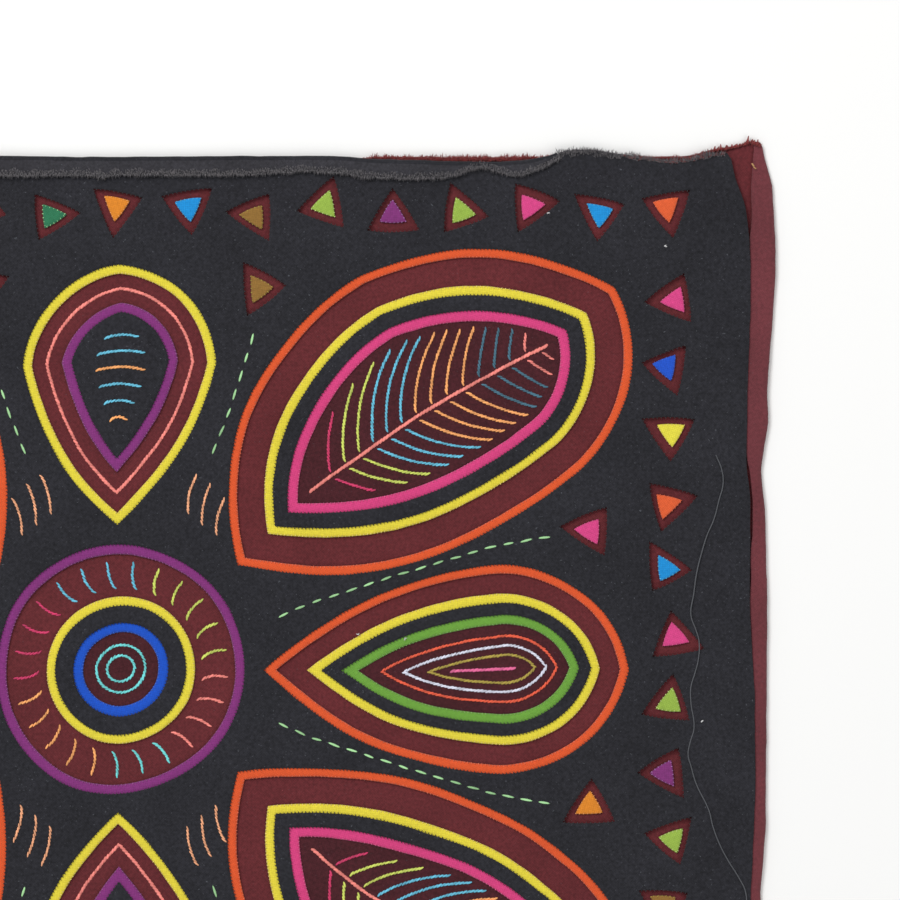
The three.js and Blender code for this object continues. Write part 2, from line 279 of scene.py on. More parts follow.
def cut_pattern(corners, inset, spacing):
    """Draws one outline by itself, with its points in order, and keeps it as a small mesh."""
    key = (tuple(corners), inset, spacing)
    if key in PATTERNS:
        return PATTERNS[key]
    circles, joints = inset_sides(corners, inset)
    bm = bmesh.new()
    runs = []
    for i, (centre, radius) in enumerate(circles):
        first = joints[i] - centre
        last = joints[(i + 1) % len(joints)] - centre
        sweep = (math.atan2(last.y, last.x) - math.atan2(first.y, first.x)) % (2 * math.pi)
        side = Vector(corners[(i + 1) % len(corners)][:2]) - Vector(corners[i][:2])
        steps = max(2, round(side.length / spacing))
        seed = bm.verts.new((joints[i].x, joints[i].y, 0))
        middle = (centre.x, centre.y, 0)
        bmesh.ops.spin(bm, geom=[seed], cent=middle, axis=(0, 0, 1), angle=sweep, steps=steps)
        bm.verts.ensure_lookup_table()
        runs.append(bm.verts[-steps - 1 :])
    for run, following in zip(runs, runs[1:] + runs[:1]):
        bmesh.ops.weld_verts(bm, targetmap={run[-1]: following[0]})
    loop = [vertex for run in runs for vertex in run[:-1]]
    for number, vertex in enumerate(loop):
        vertex.index = number
        vertex.co.x, vertex.co.y = drift(vertex.co.x, vertex.co.y)
    bm.verts.sort()
    PATTERNS[key] = bpy.data.meshes.new("pattern")
    bm.to_mesh(PATTERNS[key])
    bm.free()
    return PATTERNS[key]


def draw_outline(bm, corners, inset, height, spacing=SPACING):
    """Lays the pattern of one outline into a piece at this height and gives its points in order."""
    pattern = cut_pattern(corners, inset, spacing)
    bm.from_mesh(pattern)
    bm.verts.ensure_lookup_table()
    loop = bm.verts[-len(pattern.vertices):]
    for vertex in loop:
        vertex.co.z = height
    return loop


def outline_edges(bm, loop):
    """The edges of a closed outline."""
    return [bm.edges.get((a, b)) for a, b in zip(loop, loop[1:] + loop[:1])]


def loft(bm, corners, section, spacing=SPACING):
    """Joins outlines, listed from the outside in with inset and height, into one strip that faces up. They
    stand apart in height while they are joined, so that none is taken for its mirror image."""
    loops = [draw_outline(bm, corners, row[0], APART * i, spacing) for i, row in enumerate(section)]
    for outer, inner in zip(loops, loops[1:]):
        edges = outline_edges(bm, outer)
        made = bmesh.ops.bridge_loops(bm, edges=edges + outline_edges(bm, inner))["faces"]
        side = next(link for face in made for link in face.loops if link.edge == edges[0])
        if side.vert != outer[0]:
            bmesh.ops.reverse_faces(bm, faces=made)
    for loop, (inset, height) in zip(loops, section):
        for vertex in loop:
            vertex.co.z = height
    return loops


def fill_flat(bm, edges):
    """Fills a flat outline, windows and all, with faces that face up."""
    made = bmesh.ops.triangle_fill(bm, use_beauty=True, edges=edges, normal=(0, 0, 1))["geom"]
    faces = [face for face in made if isinstance(face, bmesh.types.BMFace)]
    bm.normal_update()
    bmesh.ops.reverse_faces(bm, faces=[face for face in faces if face.normal.z < 0])


trial = cut_pattern(MOTIFS["upper_right_petal"], 0, SPACING)
print("points of a corner petal:", len(trial.vertices), "edges:", len(trial.edges))

# %% [markdown]
# Cloth that was cut and turned by hand is never quite even, and it puckers a little where it is sewn down.
# So every piece is settled before it is finished: a small shake of the hand, different for each piece,
# moves its edges, and a slow swell lifts all the layers together, which keeps them apart. The plan gives
# each layer as much room as the thick sheets of the frame; here the layers are pressed together to the
# thickness of real cotton.

# %% Settle and finish a piece
SHAKE, SHAKE_SCALE, HAND_STEP = 0.16, 0.21, 7.3
SWELL = 0.42
SWELL_SCALE, SWELL_LAYER, SWELL_RISE = 0.035, 3.1, 0.35
PUCKER, PUCKER_SCALE, PUCKER_LAYER = 0.45, 0.11, 8.4
GROUND_TOP = 0.6
FLATTEN = 0.65


def waves(x, y, scale, layer):
    """A smooth noise over the panel. Each layer has waves of its own."""
    return noise.noise(Vector((x * scale, y * scale, layer)))


def settled(x, y, z, hand):
    """Where a point of the plan comes to lie on the real cloth, in millimetres."""
    shake = noise.noise_vector(Vector((x * SHAKE_SCALE, y * SHAKE_SCALE, hand * HAND_STEP)))
    swell = waves(x, y, SWELL_SCALE, SWELL_LAYER) + PUCKER * waves(x, y, PUCKER_SCALE, PUCKER_LAYER)
    lift = SWELL * max(0.0, swell + SWELL_RISE)
    if z > GROUND_TOP:
        z = GROUND_TOP + FLATTEN * (z - GROUND_TOP)
    return (x + SHAKE * shake.x, y + SHAKE * shake.y, z + lift)


def add_object(mesh, name, material):
    """An object of the finished mesh, which rides with the panel."""
    mesh.materials.append(material)
    mesh.polygons.foreach_set("use_smooth", [True] * len(mesh.polygons))
    piece = bpy.data.objects.new(name, mesh)
    scene.collection.objects.link(piece)
    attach(piece, "root")
    return piece


def thicken(bm, thickness):
    """Gives a sheet its underside, this far below it, and a rim that joins the two."""
    bm.normal_update()
    sheet = bm.verts[:] + bm.edges[:] + bm.faces[:]
    made = bmesh.ops.extrude_face_region(bm, geom=sheet, use_keep_orig=True)["geom"]
    for part in made:
        if isinstance(part, bmesh.types.BMVert):
            part.co -= part.normal * thickness
    bmesh.ops.reverse_faces(bm, faces=bm.faces[:])


def finish_cloth(bm, name, material, slot_name, hand, thickness=0.35):
    """Settles a sheet, gives it its thickness and turns millimetres into metres."""
    for vertex in bm.verts:
        vertex.co = settled(vertex.co.x, vertex.co.y, vertex.co.z, hand)
    thicken(bm, thickness)
    bmesh.ops.scale(bm, vec=(MM, MM, MM), verts=bm.verts)
    mesh = bpy.data.meshes.new(name)
    bm.to_mesh(mesh)
    bm.free()
    return add_object(mesh, name, material)


# %% [markdown]
# All the cloth is plain-woven cotton, so all of it shares one recipe: fine crossed threads that are never
# quite even, a mottle about a millimetre across, slow fading, and a few pale fibres. Blender's noise and
# sine nodes make these from the place on the piece, so the weave has its real size everywhere.

# %% Node helpers
GREY = (0.5, 0.5, 0.5, 1.0)


def node(tree, kind, inputs=(), **settings):
    """Adds a node, sets it up, and fills its inputs with values or with what other nodes give."""
    made = tree.nodes.new(kind)
    for setting, value in settings.items():
        setattr(made, setting, value)
    for socket, value in inputs:
        if isinstance(value, bpy.types.NodeSocket):
            tree.links.new(value, made.inputs[socket])
        else:
            made.inputs[socket].default_value = value
    return made


def maths(tree, operation, *inputs):
    """The result of one sum on numbers."""
    return node(tree, "ShaderNodeMath", enumerate(inputs), operation=operation).outputs[0]


def vectors(tree, operation, *inputs):
    """The result of one sum on vectors."""
    return node(tree, "ShaderNodeVectorMath", enumerate(inputs), operation=operation).outputs[0]


def scaled(tree, vector, factor):
    """A vector made longer, or a colour made brighter."""
    inputs = [(0, vector), ("Scale", factor)]
    return node(tree, "ShaderNodeVectorMath", inputs, operation="SCALE").outputs[0]


def cloud(tree, place, scale, detail):
    """A noise over the piece."""
    inputs = [("Vector", place), ("Scale", scale), ("Detail", detail)]
    return node(tree, "ShaderNodeTexNoise", inputs).outputs


def about_one(tree, place, scale, detail, amount):
    """A noise whose values lie about one, spread by the amount."""
    middle = maths(tree, "SUBTRACT", cloud(tree, place, scale, detail)["Fac"], 0.5)
    return maths(tree, "ADD", maths(tree, "MULTIPLY", middle, amount), 1.0)


def shaded(tree, colour, shades):
    """The colour under all these shades."""
    for shade in shades:
        colour = scaled(tree, colour, shade)
    return colour


def new_group(name, inputs):
    """A node group with its end nodes' sockets, and the place on the piece in millimetres."""
    tree = bpy.data.node_groups.new(name, "ShaderNodeTree")
    for label, value in inputs.items():
        kind = "NodeSocketFloat" if isinstance(value, float) else "NodeSocketColor"
        tree.interface.new_socket(name=label, in_out="INPUT", socket_type=kind).default_value = value
    for label in ("Colour", "Roughness", "Height"):
        kind = "NodeSocketColor" if label == "Colour" else "NodeSocketFloat"
        tree.interface.new_socket(name=label, in_out="OUTPUT", socket_type=kind)
    given = tree.nodes.new("NodeGroupInput").outputs
    result = tree.nodes.new("NodeGroupOutput").inputs
    place = scaled(tree, node(tree, "ShaderNodeTexCoord").outputs["Object"], 1 / MM)
    return tree, given, result, place


def tint(red, green, blue):
    """A colour read off the photograph, made linear."""
    parts = [value / 255 for value in (red, green, blue)]
    linear = [part / 12.92 if part <= 0.04045 else ((part + 0.055) / 1.055) ** 2.4 for part in parts]
    return (*linear, 1.0)


def fibre_material(name, group, settings, strength, depth):
    """A material that takes its colour, roughness and height from a node group."""
    material, shader = new_material(name)
    tree = material.node_tree
    look = node(tree, "ShaderNodeGroup", settings.items(), node_tree=group).outputs
    bumps = [("Height", look["Height"]), ("Strength", strength), ("Distance", depth * MM)]
    bump = node(tree, "ShaderNodeBump", bumps)
    tree.links.new(look["Colour"], shader["Base Color"])
    tree.links.new(look["Roughness"], shader["Roughness"])
    tree.links.new(bump.outputs["Normal"], shader["Normal"])
    return material, shader


# %% Woven cotton
FLECK_COLOUR = (120, 124, 132)

settings = {"Colour": GREY, "Mottle": 0.3, "Fade": 0.2, "Threads per mm": 2.4, "Turn": 0.0, "Lint": 0.3}
weave, given, result, place = new_group("woven_cotton", settings)
turned = node(weave, "ShaderNodeVectorRotate", [("Vector", place), ("Angle", given["Turn"])]).outputs[0]
slub = scaled(weave, cloud(weave, turned, scale=0.9, detail=2.0)["Color"], 0.5)
threads = scaled(weave, vectors(weave, "ADD", turned, slub), given["Threads per mm"])
threads = vectors(weave, "SINE", scaled(weave, threads, math.pi))
crossed = node(weave, "ShaderNodeSeparateXYZ", [(0, threads)]).outputs
crossed = maths(weave, "MULTIPLY", crossed["X"], crossed["Y"])
fuzz = cloud(weave, place, scale=5.0, detail=3.0)["Fac"]
mottle = about_one(weave, place, scale=1.1, detail=4.0, amount=given["Mottle"])
fade = about_one(weave, place, scale=0.045, detail=2.0, amount=given["Fade"])
thread_shade = maths(weave, "MULTIPLY_ADD", crossed, 0.13, 1.0)
colour = shaded(weave, given["Colour"], [mottle, fade, thread_shade])
flecks = cloud(weave, place, scale=1.5, detail=1.5)["Fac"]
flecks = [("Value", flecks), ("From Min", 0.69), ("From Max", 0.79)]
flecks = node(weave, "ShaderNodeMapRange", flecks).outputs[0]
flecks = maths(weave, "MULTIPLY", flecks, given["Lint"])
mix = node(weave, "ShaderNodeMix", [(0, flecks), (6, colour), (7, tint(*FLECK_COLOUR))], data_type="RGBA")
weave.links.new(mix.outputs[2], result["Colour"])
weave.links.new(maths(weave, "MULTIPLY_ADD", crossed, 0.35, fuzz), result["Height"])
weave.links.new(maths(weave, "MULTIPLY_ADD", fuzz, 0.2, 0.78), result["Roughness"])
print("weave nodes:", len(weave.nodes))

# %% [markdown]
# A cotton material takes the weave's colour, roughness and height. A little sheen stands for the short
# fibres that catch the light on washed cotton. Sewing and embroidery thread is smoother than cloth, with
# fine strands.

# %% Cotton materials
WEAVE_BUMP, WEAVE_DEPTH = 0.5, 0.12
SHEEN_ROUGHNESS = 0.6
SPECULAR = 0.15


def cotton(name, colour, mottle=0.5, fade=0.15, turn=0.0, lint=0.0, sheen=0.15):
    """A material of woven cotton in this colour."""
    settings = {"Colour": tint(*colour), "Mottle": mottle, "Fade": fade, "Turn": turn, "Lint": lint}
    material, shader = fibre_material(name, weave, settings, WEAVE_BUMP, WEAVE_DEPTH)
    shader["Sheen Weight"].default_value = sheen
    shader["Sheen Roughness"].default_value = SHEEN_ROUGHNESS
    shader["Specular IOR Level"].default_value = SPECULAR
    return material


COTTON = {
    # A lighter maroon for the folded hem: a painted highlight where the rolled fold catches the light.
    "hem_highlight_maroon": cotton("hem_highlight_maroon_cotton", (104, 48, 54), 0.9, fade=0.6, turn=0.2, lint=0.15),
    "maroon": cotton("maroon_cotton", (95, 38, 42), 1.1, fade=0.5, lint=0.15, sheen=0.06),
    "dark_maroon": cotton("dark_maroon_cotton", (69, 28, 34), 1.3, 0.5, turn=0.4, lint=0.15, sheen=0.06),
    "black": cotton("black_cotton", (38, 38, 43), 1.7, fade=0.6, turn=0.02, lint=0.35, sheen=0.05),
    "black_back": cotton("black_cotton_back", (50, 49, 54), 1.6, 0.6, turn=0.1, lint=0.35, sheen=0.1),
}
COLOURED = {
    "orange": ((216, 84, 40), 0.5, 0.3), "yellow": ((222, 206, 60), 0.5, 0.7),
    "pink": ((208, 62, 122), 0.5, 0.5), "green": ((104, 156, 58), 0.5, 0.2),
    "purple": ((126, 46, 116), 0.6, 0.9), "blue": ((20, 78, 190), 0.5, 0.6),
    "lime": ((146, 176, 70), 0.5, 0.35), "rose": ((210, 66, 130), 0.5, 1.2),
    "sky": ((22, 138, 208), 0.5, 0.8), "coral": ((218, 92, 48), 0.5, 0.15),
    "lemon": ((222, 212, 66), 0.5, 0.45), "royal": ((28, 80, 195), 0.5, 1.0),
    "amber": ((215, 130, 36), 0.5, 0.55), "emerald": ((42, 112, 78), 0.6, 0.25),
    "ochre": ((138, 102, 46), 0.6, 0.65), "plum": ((124, 48, 114), 0.6, 0.75),
}
for name, (colour, mottle, turn) in COLOURED.items():
    COTTON[name] = cotton(f"{name}_cotton", colour, mottle, turn=turn)
print("cottons:", len(COTTON))

# %% Thread materials
THREAD_BUMP, THREAD_DEPTH = 0.4, 0.08
THREAD_SHEEN = 0.1

strand, given, result, place = new_group("stranded_thread", {"Colour": GREY, "Variation": 0.3})
single = about_one(strand, place, scale=1.6, detail=3.0, amount=given["Variation"])
length = about_one(strand, place, scale=0.12, detail=1.0, amount=given["Variation"])
drawn = node(strand, "ShaderNodeAttribute", attribute_name="shade").outputs["Fac"]
drawn = maths(strand, "MULTIPLY_ADD", drawn, 0.22, 1.0)
fine = cloud(strand, place, scale=7.0, detail=2.0)["Fac"]
strand.links.new(shaded(strand, given["Colour"], [single, length, drawn]), result["Colour"])
strand.links.new(fine, result["Height"])
strand.links.new(maths(strand, "MULTIPLY_ADD", fine, 0.25, 0.45), result["Roughness"])


def thread(name, colour):
    """A material of sewing or embroidery thread in this colour."""
    material, shader = fibre_material(name, strand, {"Colour": tint(*colour)}, THREAD_BUMP, THREAD_DEPTH)
    shader["Sheen Weight"].default_value = THREAD_SHEEN
    return material


THREAD_COLOURS = {
    "black": (34, 33, 37), "charcoal": (72, 74, 79), "fray_pale": (104, 100, 103), "fray_grey": (74, 72, 76),
    "fray_red": (128, 43, 42), "lint": (205, 205, 205), "orange": (226, 110, 74), "yellow": (236, 214, 120),
    "pink": (220, 96, 146), "green": (132, 178, 96), "purple": (150, 78, 142), "mauve": (168, 116, 172),
    "pale_lime": (206, 222, 140), "blue": (50, 104, 206), "sky": (96, 184, 212), "apricot": (240, 164, 96),
    "salmon": (238, 132, 122), "magenta": (200, 44, 96), "lime": (200, 212, 94),
    "lavender": (214, 216, 232), "slate": (60, 104, 124), "olive": (168, 148, 58),
    "red_orange": (226, 86, 54), "aqua": (108, 212, 212), "pale_green": (160, 212, 150),
    "peach": (232, 164, 122), "tan": (196, 150, 96),
}
THREADS = {name: thread(f"{name}_thread", colour) for name, colour in THREAD_COLOURS.items()}
loose_thread.data.materials.append(THREADS["charcoal"])
print("threads:", len(THREADS))

# %% [markdown]
# The ground cloth is the full size of the panel. Its outline is a line of points softened between them,
# filled and then cut by a grid of planes, so that the flat cloth has enough points to pucker. Its right
# edge is folded over to the front: the edge is extruded again and again, up, back and down, as the cloth
# itself turns.

# %% Edge lines
EDGE_STEP = 3
EDGE_SHAKE, EDGE_SHAKE_SCALE = 0.09, 0.9
GRID_REACH = (((1, 0, 0), 208), ((0, 1, 0), 168))
GRID_OFFSET, GRID_SLACK = 0.37, 0.01


def draw_edge_line(bm, places, height):
    """A closed line through these places, in short softened steps, none of them quite straight."""
    points = [bm.verts.new((x, y, height)) for x, y in places]
    edges = [bm.edges.new(pair) for pair in zip(points, points[1:] + points[:1])]
    for edge in edges:
        cuts = int(edge.calc_length() / EDGE_STEP)
        if cuts:
            bmesh.ops.subdivide_edges(bm, edges=[edge], cuts=cuts)
    bmesh.ops.smooth_vert(bm, verts=bm.verts[:], factor=0.5, use_axis_x=True, use_axis_y=True)
    for vertex in bm.verts:
        cut = noise.noise_vector(vertex.co * EDGE_SHAKE_SCALE)
        vertex.co.x += EDGE_SHAKE * cut.x
        vertex.co.y += EDGE_SHAKE * cut.y
    return bm.edges[:]


def cut_grid(bm, spacing):
    """Cuts the cloth along lines this far apart both ways."""
    for axis, reach in GRID_REACH:
        for step in range(int(-reach / spacing), int(reach / spacing) + 1):
            everything = bm.verts[:] + bm.edges[:] + bm.faces[:]
            middle = Vector(axis) * (step * spacing + GRID_OFFSET)
            bmesh.ops.bisect_plane(bm, geom=everything, dist=GRID_SLACK, plane_co=middle, plane_no=axis)


def open_edges(bm, wanted):
    """Edges with cloth on one side only, where both ends lie in the wanted region."""
    edges = [edge for edge in bm.edges if edge.is_boundary]
    return [edge for edge in edges if all(wanted(vertex.co) for vertex in edge.verts)]


def turn_edge(bm, edges, steps):
    """Folds an edge by extruding it step by step. Gives the points and the edges of the last row."""
    for step in steps:
        made = bmesh.ops.extrude_edge_only(bm, edges=edges)["geom"]
        row = [part for part in made if isinstance(part, bmesh.types.BMVert)]
        edges = [part for part in made if isinstance(part, bmesh.types.BMEdge)]
        bmesh.ops.translate(bm, vec=step, verts=row)
    return row, edges


# %% Maroon ground cloth
BASE_TOP = [
    (-209.4, 162.6), (-100, 163), (74, 163), (80, 164.4), (134, 164.2), (142, 163.6),
    (162, 164.6), (182, 164.6), (190, 166.8), (194.6, 167.4), (197.4, 168.2), (200.4, 168.7),
]
BASE_RIGHT = [
    (203.6, 170), (205.8, 168.7), (206.2, 165.2), (209, 155.3), (210, 136), (210, 127), (209, 110.5),
    (207.3, 90), (207.8, 79.4), (205.2, 64.1), (206.6, 52), (207.4, 22.5), (207.1, -20),
    (206.8, -51.8), (205.2, -71.3), (206.4, -112), (205.8, -169.4),
]
BASE_CORNER = [(-209.8, -169.8)]
EDGE_ROLL = 0.3
GROUND_GRID = 6
HEM_TURN = [(0.15, 0, 0.2), (0, 0, 0.35), (-0.3, 0, 0.3), (-1.1, 0, 0.1)]
HEM_EDGE_Y, HEM_EDGE_X = zip(
    (-169.4, 200.4), (-112, 200.7), (-73, 200.6), (-38, 202), (-7, 202.8), (19, 202), (40, 202.6),
    (55, 203.1), (63, 202), (74, 199.9), (90, 199.6), (115, 200.6), (132, 201.2), (141, 202.4),
    (152, 202.7), (160, 202.8), (169, 203.6),
)
HEM_LEFT, HEM_END = 204.2, 169.0
HEM_RAGGED, HEM_RAGGED_SCALE, HEM_LAYER = 0.35, 0.12, 9.0
HEM_ROWS = 4
HEM_DROP = (0, 0, -0.04)
HEM_TOP = 168
HEM_FADE = 16
HEM_FLAT = 0.45

ground = bmesh.new()
around = BASE_TOP + [(x - EDGE_ROLL, y) for x, y in BASE_RIGHT] + BASE_CORNER
fill_flat(ground, draw_edge_line(ground, around, GROUND_TOP))
cut_grid(ground, GROUND_GRID)
right_edge = open_edges(ground, lambda co: co.x > HEM_LEFT and co.y < HEM_END)
plain_faces = set(ground.faces)
hem_row, hem_edges = turn_edge(ground, right_edge, HEM_TURN)
for rows_left in range(HEM_ROWS, 0, -1):
    hem_row, hem_edges = turn_edge(ground, hem_edges, [HEM_DROP])
    for vertex in hem_row:
        place = Vector((vertex.co.y * HEM_RAGGED_SCALE, rows_left, HEM_LAYER))
        uneven = HEM_RAGGED * noise.noise(place)
        goal = float(np.interp(vertex.co.y, HEM_EDGE_Y, HEM_EDGE_X)) + uneven
        vertex.co.x += (goal - vertex.co.x) / rows_left
# The folded hem faces take the second material, a lighter maroon that paints the highlight on the fold.
for face in ground.faces:
    face.material_index = 0 if face in plain_faces else 1
for vertex in {vertex for face in set(ground.faces) - plain_faces for vertex in face.verts}:
    pressed = min(1.0, max(HEM_FLAT, (HEM_TOP - vertex.co.y) / HEM_FADE))
    vertex.co.z = GROUND_TOP + (vertex.co.z - GROUND_TOP) * pressed
ground_cloth = finish_cloth(ground, "maroon_ground_cloth", COTTON["maroon"], "maroon_cotton", 1, 0.5)
ground_cloth.data.materials.append(COTTON["hem_highlight_maroon"])
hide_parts("base_cloth")
print("ground cloth faces:", len(ground_cloth.data.polygons), "hem points:", len(hem_row))

# %% [markdown]
# The black cloth is cut in the same way, with a window for every motif and every small triangle. Around
# each window the cloth rolls down to the line below it, which is a short strip lofted between outlines of
# different heights.

# %% Small triangles: their places
FILLER_SIZE = 9.3
FILLER_TURN = 2.4
ROW_COUNT, ROW_PITCH, ROW_HEIGHT, ROW_SWAY = 17, 22, 147.2, 1.6
COLUMN_COUNT, COLUMN_PITCH, COLUMN_PLACE, COLUMN_SWAY = 12, 21.6, 176.2, 1.4
BETWEEN_PETALS = [(151.5, 44.5), (44.5, 122.5)]

triangle_middles = []
for up in BOTH_WAYS:
    for k in range(ROW_COUNT):
        sway = ROW_SWAY * math.sin(FILLER_TURN * k)
        triangle_middles.append(((k - (ROW_COUNT - 1) / 2) * ROW_PITCH, up * (ROW_HEIGHT + sway)))
for across in BOTH_WAYS:
    for k in range(COLUMN_COUNT):
        sway = COLUMN_SWAY * math.sin(FILLER_TURN * k)
        height = (k - (COLUMN_COUNT - 1) / 2) * COLUMN_PITCH
        triangle_middles.append((across * (COLUMN_PLACE + sway), height))
for x, y in BETWEEN_PETALS:
    triangle_middles.extend((across * x, up * y) for up in BOTH_WAYS for across in BOTH_WAYS)


def triangle(middle, index, size=1.0, bulge=0.45):
    """The corners of one small triangle, turned on from the last."""
    corners = []
    for j in range(3):
        reach = size * FILLER_SIZE * (1 + 0.1 * math.sin(5.3 * index + 2.1 * j))
        angle = FILLER_TURN * index + j * 2 * math.pi / 3
        corners.append((middle[0] + reach * math.cos(angle), middle[1] + reach * math.sin(angle), bulge))
    return corners


TRIANGLES = [triangle(middle, index) for index, middle in enumerate(triangle_middles)]
print("triangles:", len(TRIANGLES))

# %% Black top cloth
TOP_EDGE = [
    (188, 165), (181, 163.3), (174, 163.3), (161, 165.2), (151, 166.8), (143, 166.5), (137.5, 164.0),
    (131.5, 162.5), (122, 161.8), (103, 162.1), (82, 162.8), (71, 163.7), (42, 163.7), (-9, 163.4),
    (-60, 164.0), (-120, 163.4), (-201.3, 163.9),
]
BLACK_RIGHT = [
    (195.3, 166.2), (197.2, 157.2), (200.7, 147.9), (202, 132), (202, 115.6), (201, 90), (200.7, 65.4),
    (202, 54.8), (201.7, 19.3), (203.3, -7), (203.6, -38.6), (202, -73.2), (202.4, -120), (201.6, -166),
]
BLACK_CORNER = [(-201.6, -165.8)]
FLAP_EDGE = [
    (-201.5, 159), (-176, 158.1), (-150, 158.2), (-112, 159.3), (-80, 159), (-45, 158.2), (-9, 158.5),
    (-5, 157.6), (-1, 158.5), (40, 158.5), (48, 159), (58, 159.8), (70.8, 159.2), (77.2, 157.9),
    (90, 157.3), (102.8, 157.6), (107.6, 158.3), (112.4, 160.2), (115.6, 161), (118.8, 160.4),
    (122, 159.5), (124.8, 158.5), (128.4, 158.4), (132, 159.4), (136.4, 161.3), (139.4, 163.2), (141, 164.3),
]
FLAP_EDGE_X, FLAP_EDGE_Y = zip(*FLAP_EDGE)
FLAP_END = 141
FLAP_ROWS = 3
FLAP_DROP = (0, 0, -0.05)
FLAP_TAPER = 9
FLAP_LEAST, FLAP_FLAT = 0.05, 0.25
FLAP_RAGGED, FLAP_RAGGED_SCALE, FLAP_LAYER = 0.9, 0.35, 5.0
WINDOW_ROLL = [(-1.0, 3.1), (-0.5, 3.03), (-0.16, 2.85), (0.0, 2.55), (-0.1, 2.3)]
FOLD_TURN = [(0, 0.35, 0.16), (0, 0.15, 0.42), (0, -0.2, 0.42), (0, -0.8, 0.14)]
RIGHT_TURN = [(0.2, 0, -0.12), (0.05, 0, -0.35), (-0.4, 0, -0.3)]
LEFT_TURN = [(-0.2, 0, -0.12), (-0.05, 0, -0.35), (0.4, 0, -0.3)]
LOWER_TURN = [(0, -0.2, -0.12), (0, -0.05, -0.35), (0, 0.4, -0.3)]

BLACK_TOP = 3.1
BLACK_GRID = 7
RIM_HEIGHT = 3.05
TRIANGLE_SPACING = 3.2
BLACK_THICKNESS = 0.4
TOP_EDGE_X, TOP_EDGE_Y = zip(*reversed(TOP_EDGE))

black = bmesh.new()
around = TOP_EDGE[::-1] + BLACK_RIGHT + BLACK_CORNER
edges = draw_edge_line(black, around, BLACK_TOP)
for corners in MOTIFS.values():
    edges.extend(outline_edges(black, loft(black, corners, WINDOW_ROLL)[0]))
for corners in TRIANGLES:
    edges.extend(outline_edges(black, loft(black, corners, WINDOW_ROLL, TRIANGLE_SPACING)[0]))
fill_flat(black, edges)
cut_grid(black, BLACK_GRID)
plain_points = set(black.verts)
edges = open_edges(black, lambda co: co.y > 160 and -201 < co.x < FLAP_END)
row, edges = turn_edge(black, edges, FOLD_TURN)
for vertex in set(black.verts) - plain_points:
    share = min(1.0, max(FLAP_LEAST, (FLAP_END - vertex.co.x) / FLAP_TAPER))
    top = float(np.interp(vertex.co.x, TOP_EDGE_X, TOP_EDGE_Y))
    vertex.co.y = top + (vertex.co.y - top) * share
    vertex.co.z = BLACK_TOP + (vertex.co.z - BLACK_TOP) * max(FLAP_FLAT, share)
for rows_left in range(FLAP_ROWS, 0, -1):
    row, edges = turn_edge(black, edges, [FLAP_DROP])
    for edge in edges:
        edge.link_faces[0].material_index = 1
    for vertex in row:
        place = Vector((vertex.co.x * FLAP_RAGGED_SCALE, rows_left, FLAP_LAYER))
        ragged = FLAP_RAGGED * noise.noise(place)
        goal = float(np.interp(vertex.co.x, FLAP_EDGE_X, FLAP_EDGE_Y)) + ragged
        vertex.co.y += (goal - vertex.co.y) / rows_left
turn_edge(black, open_edges(black, lambda co: co.x > 195 and co.y < 165), RIGHT_TURN)
left_edge = open_edges(black, lambda co: co.x < -200.5 and co.y < 163 and co.z > RIM_HEIGHT)
turn_edge(black, left_edge, LEFT_TURN)
turn_edge(black, open_edges(black, lambda co: co.y < -165 and co.z > RIM_HEIGHT), LOWER_TURN)
black_faces = len(black.faces)
black_area = sum(face.calc_area() for face in black.faces) * MM * MM
black_cloth = finish_cloth(black, "black_window_cloth", COTTON["black"], "black_cotton", 2, BLACK_THICKNESS)
black_cloth.data.materials.append(COTTON["black_back"])
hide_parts("top_cloth")
print("black cloth faces:", black_faces, "area:", round(black_area, 4), "square metres")

# %% [markdown]
# Between the two cloths lie the coloured ones. Each shows as a narrow line: one edge is turned under and
# stitched down, the other runs on beneath the next cloth. A line is one strip, lofted from its outer
# outline to its inner one, with a rolled turned edge.

# %% Coloured lines
LINE_ROLL = [(0.15, 1.1), (0.0, 1.35), (0.25, 1.85), (0.7, 2.15), (1.5, 2.25), (2.4, 2.15), (3.0, 2.0)]
TUCKED_HEIGHT = 1.85
LINES = {
    "corner": {"orange": (-1.6, 2.8), "yellow": (16.2, 11.7), "pink": (17.8, 22.7)},
    "side": {"orange": (-1.6, 2.8), "yellow": (13.1, 9.0), "green": (14.4, 18.6)},
    "crown": {"yellow": (-1.6, 2.9), "purple": (17, 12.3)},
    "rosette": {"purple": (-1.6, 3.1), "yellow": (20.9, 16.4), "blue": (23.4, 28.2)},
}


def line_section(tucked, turned):
    """Inset and height across a line, listed from the outside in."""
    toward = 1 if tucked > turned else -1
    section = [(turned + toward * step, height) for step, height in LINE_ROLL]
    section.append((tucked, TUCKED_HEIGHT))
    return section if toward > 0 else section[::-1]


coloured_lines = []
for name, corners in MOTIFS.items():
    for colour, (tucked, turned) in LINES[MOTIF_KIND[name]].items():
        line = bmesh.new()
        loft(line, corners, line_section(tucked, turned))
        hand = 3 + len(coloured_lines)
        piece = finish_cloth(line, f"{name}_{colour}_line", COTTON[colour], f"{colour}_cotton", hand)
        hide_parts(f"{name}_{colour}")
        coloured_lines.append(piece)
print("coloured lines:", len(coloured_lines))

# %% [markdown]
# Within the yellow line of a petal lies an island of the black cloth, turned under on both sides. The
# middle of the island is open again in most motifs, and there a patch of darker cloth backs the embroidery.

# %% Black islands
ISLAND_ROLL = [(0.15, 2.3), (0.0, 2.5), (0.12, 2.8), (0.5, 3.0), (1.1, 3.08)]
ISLANDS = {"corner": (14.6, 19.4), "side": (11.9, 15.6), "rosette": (19.3, 25)}
ISLAND_MIDDLE = 3.12
CROWN_ISLAND = 15.4
CROWN_RINGS = [(19, 3.1), (22, 3.1), (25, 3.1)]
FINE_GRID = 4.5


